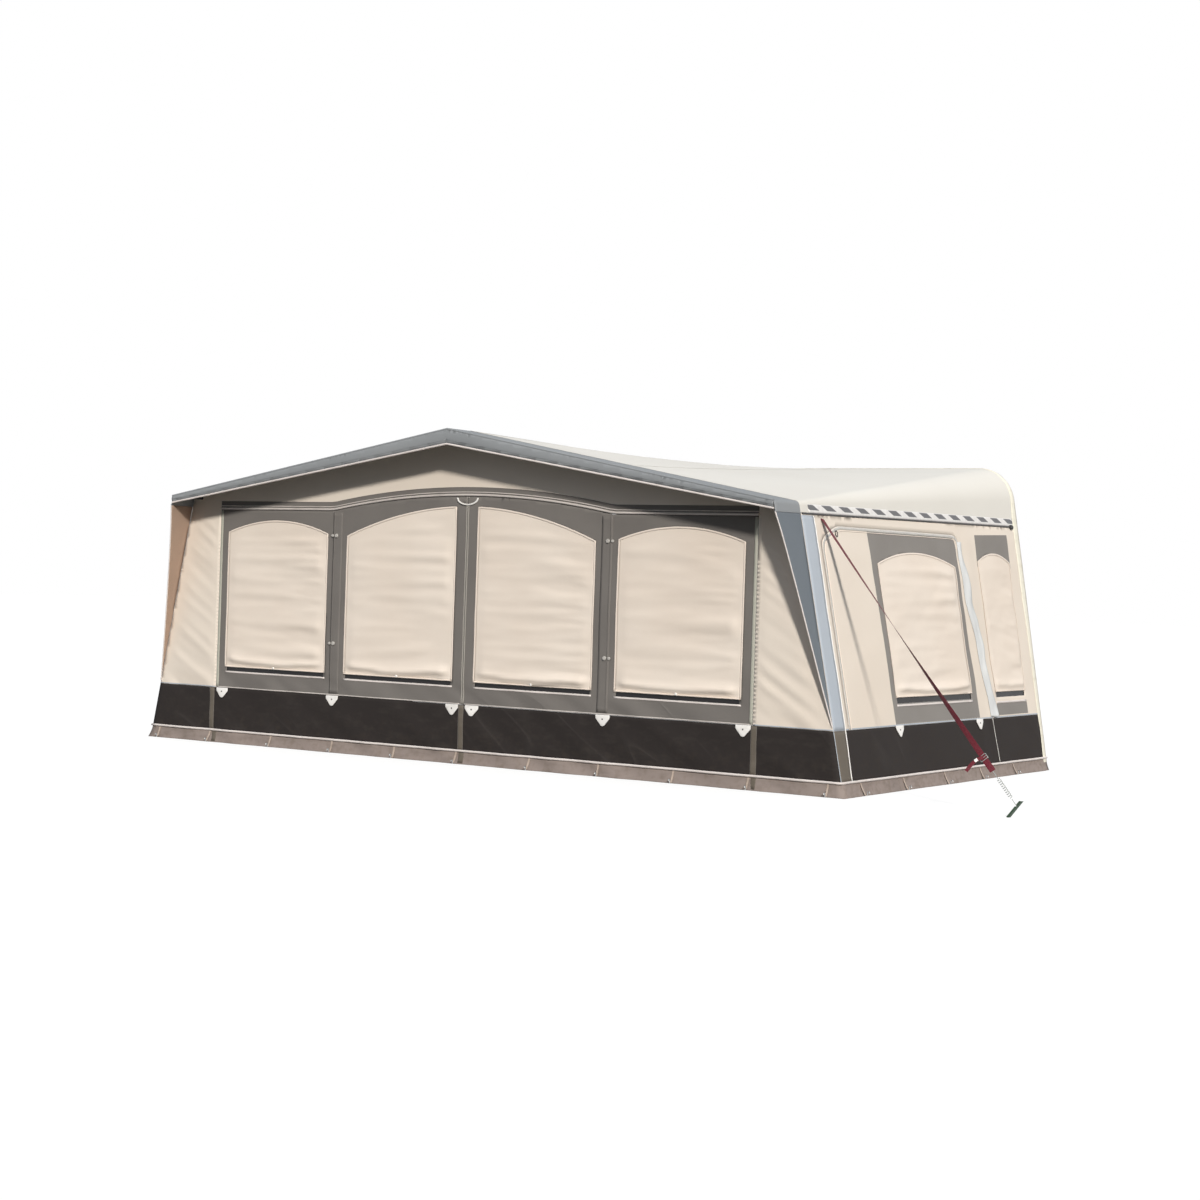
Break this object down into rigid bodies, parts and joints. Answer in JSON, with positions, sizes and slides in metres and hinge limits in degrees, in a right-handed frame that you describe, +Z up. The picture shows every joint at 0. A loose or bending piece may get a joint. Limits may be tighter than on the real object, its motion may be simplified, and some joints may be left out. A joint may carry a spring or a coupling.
{
  "type": "caravan awning",
  "caption": "Full-size caravan awning: a cloth room with sloping walls, arched windows and a front canopy on a telescopic tube frame, with a storm strap and peg.",
  "frame": {"origin": "on the ground, under the middle of the awning's box without the storm strap, its spring and its peg", "axes": "+X along the caravan, to the right seen from outside; -Y out of the front wall, away from the caravan; +Z up"},
  "size_m": [7.8155, 3.79, 2.494],
  "materials": {
    "wall_cloth": "matt coated weave",
    "roof_cloth": "matt coated weave",
    "grey_cloth": "matt coated weave",
    "band_cloth": "matt coated weave",
    "blind_cloth": "matt weave",
    "window_film": "clear flexible film",
    "splash_vinyl": "coated, slight sheen",
    "mud_vinyl": "coated, slight sheen",
    "bead_vinyl": "soft plastic cord",
    "tube_steel": "galvanised tube",
    "hub_plastic": "moulded nylon",
    "lever_plastic": "moulded nylon",
    "foot_rubber": "moulded rubber",
    "strap_webbing": "woven webbing",
    "spring_steel": "plated wire",
    "peg_plastic": "moulded plastic"
  },
  "bodies": {
    "awning": {"roof": "roof_cloth", "rail_bead": "bead_vinyl", "canopy_band": "band_cloth", "cheek_left": "band_cloth", "cheek_right": "band_cloth", "front_wall": "wall_cloth", "side_wall_left": "wall_cloth", "side_wall_right": "wall_cloth", "rear_film_left": "window_film", "rear_film_right": "window_film", "rear_blind_left": "blind_cloth", "rear_blind_right": "blind_cloth", "mud_flap": "mud_vinyl", "splash_band": "splash_vinyl", "centre_hub": "hub_plastic", "corner_hub_left": "hub_plastic", "corner_hub_right": "hub_plastic", "rafter_left": "tube_steel", "rafter_right": "tube_steel", "canopy_rail_left": "tube_steel", "canopy_rail_right": "tube_steel", "roof_pole_front_centre": "tube_steel", "leg_outer_centre": "tube_steel", "leg_clamp_centre": "hub_plastic", "roof_pole_front_left": "tube_steel", "leg_outer_left": "tube_steel", "leg_clamp_left": "hub_plastic", "roof_pole_front_right": "tube_steel", "leg_outer_right": "tube_steel", "leg_clamp_right": "hub_plastic", "storm_strap": "strap_webbing", "strap_spring": "spring_steel", "ground_peg": "peg_plastic"},
    "front_half_left": {"front_panel_left": "grey_cloth", "front_film_left": "window_film", "front_blind_1": "blind_cloth", "front_blind_2": "blind_cloth"},
    "front_half_right": {"front_panel_right": "grey_cloth", "front_film_right": "window_film", "front_blind_3": "blind_cloth", "front_blind_4": "blind_cloth"},
    "door_leaf_left": {"side_door_left": "wall_cloth", "door_film_left": "window_film", "door_blind_left": "blind_cloth"},
    "door_leaf_right": {"side_door_right": "wall_cloth", "door_film_right": "window_film", "door_blind_right": "blind_cloth"},
    "leg_lower_centre": {"leg_inner_centre": "tube_steel", "foot_centre": "foot_rubber"},
    "leg_lower_left": {"leg_inner_left": "tube_steel", "foot_left": "foot_rubber"},
    "leg_lower_right": {"leg_inner_right": "tube_steel", "foot_right": "foot_rubber"},
    "clamp_arm_centre": {"clamp_lever_centre": "lever_plastic"},
    "clamp_arm_left": {"clamp_lever_left": "lever_plastic"},
    "clamp_arm_right": {"clamp_lever_right": "lever_plastic"},
    "roof_pole_end_centre": {"roof_pole_rear_centre": "tube_steel"},
    "roof_pole_end_left": {"roof_pole_rear_left": "tube_steel"},
    "roof_pole_end_right": {"roof_pole_rear_right": "tube_steel"}
  },
  "joints": [
    {"name": "front_panel_swing_left", "type": "hinge", "parent": "awning", "child": "front_half_left", "pos_m": [-2.487, -1.605, 0.444], "axis": [0, 0, -1], "range_deg": [0, 95]},
    {"name": "front_panel_swing_right", "type": "hinge", "parent": "awning", "child": "front_half_right", "pos_m": [2.487, -1.605, 0.444], "axis": [0, 0, 1], "range_deg": [0, 95]},
    {"name": "side_door_swing_left", "type": "hinge", "parent": "awning", "child": "door_leaf_left", "pos_m": [-3.11096, -1.375, 0.444], "axis": [0.1976, 0, 0.9803], "range_deg": [0, 100]},
    {"name": "side_door_swing_right", "type": "hinge", "parent": "awning", "child": "door_leaf_right", "pos_m": [3.11096, -1.375, 0.444], "axis": [0.1976, 0, -0.9803], "range_deg": [0, 55]},
    {"name": "leg_slide_centre", "type": "slide", "parent": "awning", "child": "leg_lower_centre", "axis": [0, 0, 1], "range_m": [0, 0.3]},
    {"name": "leg_slide_left", "type": "slide", "parent": "awning", "child": "leg_lower_left", "axis": [0.2001, 0, 0.9798], "range_m": [0, 0.3]},
    {"name": "leg_slide_right", "type": "slide", "parent": "awning", "child": "leg_lower_right", "axis": [-0.2001, 0, 0.9798], "range_m": [0, 0.3]},
    {"name": "clamp_lever_swing_centre", "type": "hinge", "parent": "awning", "child": "clamp_arm_centre", "pos_m": [0, -1.545, 1.02], "axis": [1, 0, 0], "range_deg": [0, 100]},
    {"name": "clamp_lever_swing_left", "type": "hinge", "parent": "awning", "child": "clamp_arm_left", "pos_m": [-2.8974, -1.545, 1.02], "axis": [0.9798, 0, -0.2001], "range_deg": [0, 100]},
    {"name": "clamp_lever_swing_right", "type": "hinge", "parent": "awning", "child": "clamp_arm_right", "pos_m": [2.8974, -1.545, 1.02], "axis": [0.9798, 0, 0.2001], "range_deg": [0, 100]},
    {"name": "roof_pole_slide_centre", "type": "slide", "parent": "awning", "child": "roof_pole_end_centre", "axis": [0, -0.9998, 0.0217], "range_m": [0, 0.3]},
    {"name": "roof_pole_slide_left", "type": "slide", "parent": "awning", "child": "roof_pole_end_left", "axis": [-0.0496, -0.9917, -0.1188], "range_m": [0, 0.3]},
    {"name": "roof_pole_slide_right", "type": "slide", "parent": "awning", "child": "roof_pole_end_right", "axis": [0.0496, -0.9917, -0.1188], "range_m": [0, 0.3]}
  ]
}
